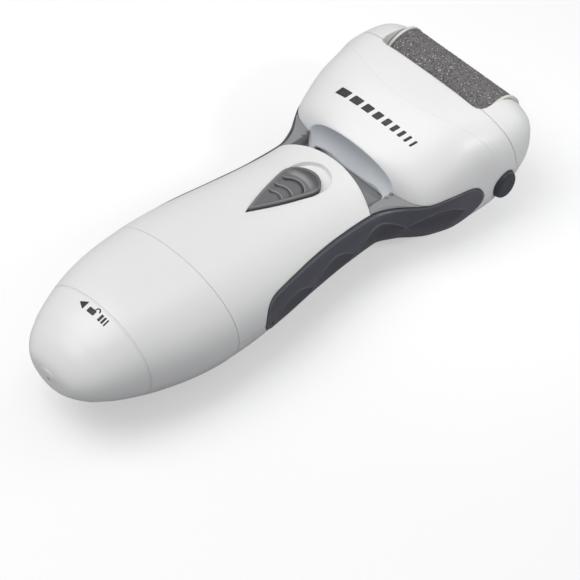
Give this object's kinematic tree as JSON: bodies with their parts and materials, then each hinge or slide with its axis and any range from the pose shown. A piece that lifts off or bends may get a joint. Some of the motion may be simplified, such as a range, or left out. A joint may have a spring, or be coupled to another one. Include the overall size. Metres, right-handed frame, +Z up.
{
  "type": "electric callus remover",
  "caption": "Battery-powered handheld callus remover with twist-off battery cover, slide switch, side grips, release button and a motor-driven abrasive roller.",
  "frame": {"origin": "centre of the flat under the head, on the resting plane and the plane of symmetry", "axes": "+X from the tail tip to the roller end, +Y to the left side (gear side), +Z up to the switch side"},
  "size_m": [0.1764, 0.0692, 0.0405],
  "materials": {
    "shell_white": "satin injection-moulded, near white",
    "chassis_grey": "satin mid grey",
    "rubber_charcoal": "soft-touch charcoal rubber",
    "button_charcoal": "charcoal plastic",
    "switch_grey": "satin grey",
    "abrasive": "bonded mineral grit",
    "inner_white": "natural nylon",
    "inner_black": "black ABS",
    "steel": "plated steel",
    "spring_steel": "spring steel",
    "nickel": "nickel plate",
    "gear_nylon": "acetal",
    "brass": "turned brass",
    "cell_wrap": "printed sleeve, no lettering",
    "pcb_green": "glass-epoxy board",
    "wire_red": "PVC insulation",
    "wire_black": "PVC insulation",
    "seal_rubber": "nitrile"
  },
  "bodies": {
    "frame": {"handle_front_cover": "shell_white", "handle_back_shell": "shell_white", "chassis_frame": "chassis_grey", "head_shell": "shell_white", "nose_bezel": "shell_white", "grip_left": "rubber_charcoal", "grip_right": "rubber_charcoal", "battery_tray": "inner_white", "cover_seal": "seal_rubber", "battery_cells": "cell_wrap", "front_contacts": "nickel", "circuit_board": "pcb_green", "board_components": "inner_black", "switch_housing": "inner_black", "motor_can": "steel", "motor_end_cap": "inner_black", "motor_terminals": "nickel", "gear_plate": "inner_white", "motor_screws": "steel", "case_screws": "steel", "gear_axle": "steel", "hub_bushing": "brass", "roller_trough": "chassis_grey", "lever_pivot": "steel", "wire_red": "wire_red", "wire_black": "wire_black"},
    "contact_carrier_body": {"contact_carrier": "inner_white", "bridge_contact": "nickel", "contact_springs": "spring_steel"},
    "cover_body": {"battery_cover": "shell_white"},
    "switch_body": {"slide_switch_button": "switch_grey", "switch_carriage": "inner_black"},
    "roller_body": {"abrasive_sleeve": "abrasive", "roller_core": "inner_black", "roller_end_caps": "inner_white", "drive_gear": "gear_nylon"},
    "compound_gear_body": {"compound_gear": "gear_nylon"},
    "rotor_body": {"motor_shaft": "steel", "motor_pinion": "brass"},
    "release_button_body": {"release_button": "button_charcoal"},
    "release_lever_body": {"release_lever": "inner_white"},
    "retaining_pin_body": {"retaining_pin": "steel", "pin_spring": "spring_steel"}
  },
  "joints": [
    {"name": "cover_pull", "type": "slide", "parent": "frame", "child": "contact_carrier_body", "axis": [-1, 0, 0], "range_m": [0, 0.06]},
    {"name": "cover_twist", "type": "hinge", "parent": "contact_carrier_body", "child": "cover_body", "pos_m": [-0.091, 0, 0.018], "axis": [1, 0, 0], "range_deg": [-16, 0]},
    {"name": "switch_slide", "type": "slide", "parent": "frame", "child": "switch_body", "axis": [0.9929, 0, -0.1187], "range_m": [0, 0.004]},
    {"name": "roller_spin", "type": "hinge", "parent": "frame", "child": "roller_body", "pos_m": [0.0272, 0, 0.0268], "axis": [0, 1, 0], "continuous": true},
    {"name": "compound_gear_spin", "type": "hinge", "parent": "frame", "child": "compound_gear_body", "pos_m": [0.01911, 0.025, 0.02164], "axis": [0, 1, 0], "continuous": true},
    {"name": "motor_spin", "type": "hinge", "parent": "frame", "child": "rotor_body", "pos_m": [0.0074, 0.01, 0.019], "axis": [0, 1, 0], "continuous": true},
    {"name": "release_press", "type": "slide", "parent": "frame", "child": "release_button_body", "axis": [0, 1, 0], "range_m": [0, 0.0016]},
    {"name": "lever_rock", "type": "hinge", "parent": "frame", "child": "release_lever_body", "pos_m": [0.024, -0.02495, 0.0214], "axis": [1, 0, 0], "range_deg": [0, 17.5]},
    {"name": "pin_withdraw", "type": "slide", "parent": "frame", "child": "retaining_pin_body", "axis": [0, -1, 0], "range_m": [0, 0.00165], "deforming": ["pin_spring"]}
  ],
  "couplings": [
    {"joint": "compound_gear_spin", "follows": "roller_spin", "ratio": -1.2857},
    {"joint": "motor_spin", "follows": "roller_spin", "ratio": 3},
    {"joint": "lever_rock", "follows": "release_press", "rad_per_m": 185.19},
    {"joint": "pin_withdraw", "follows": "release_press", "ratio": 1}
  ]
}
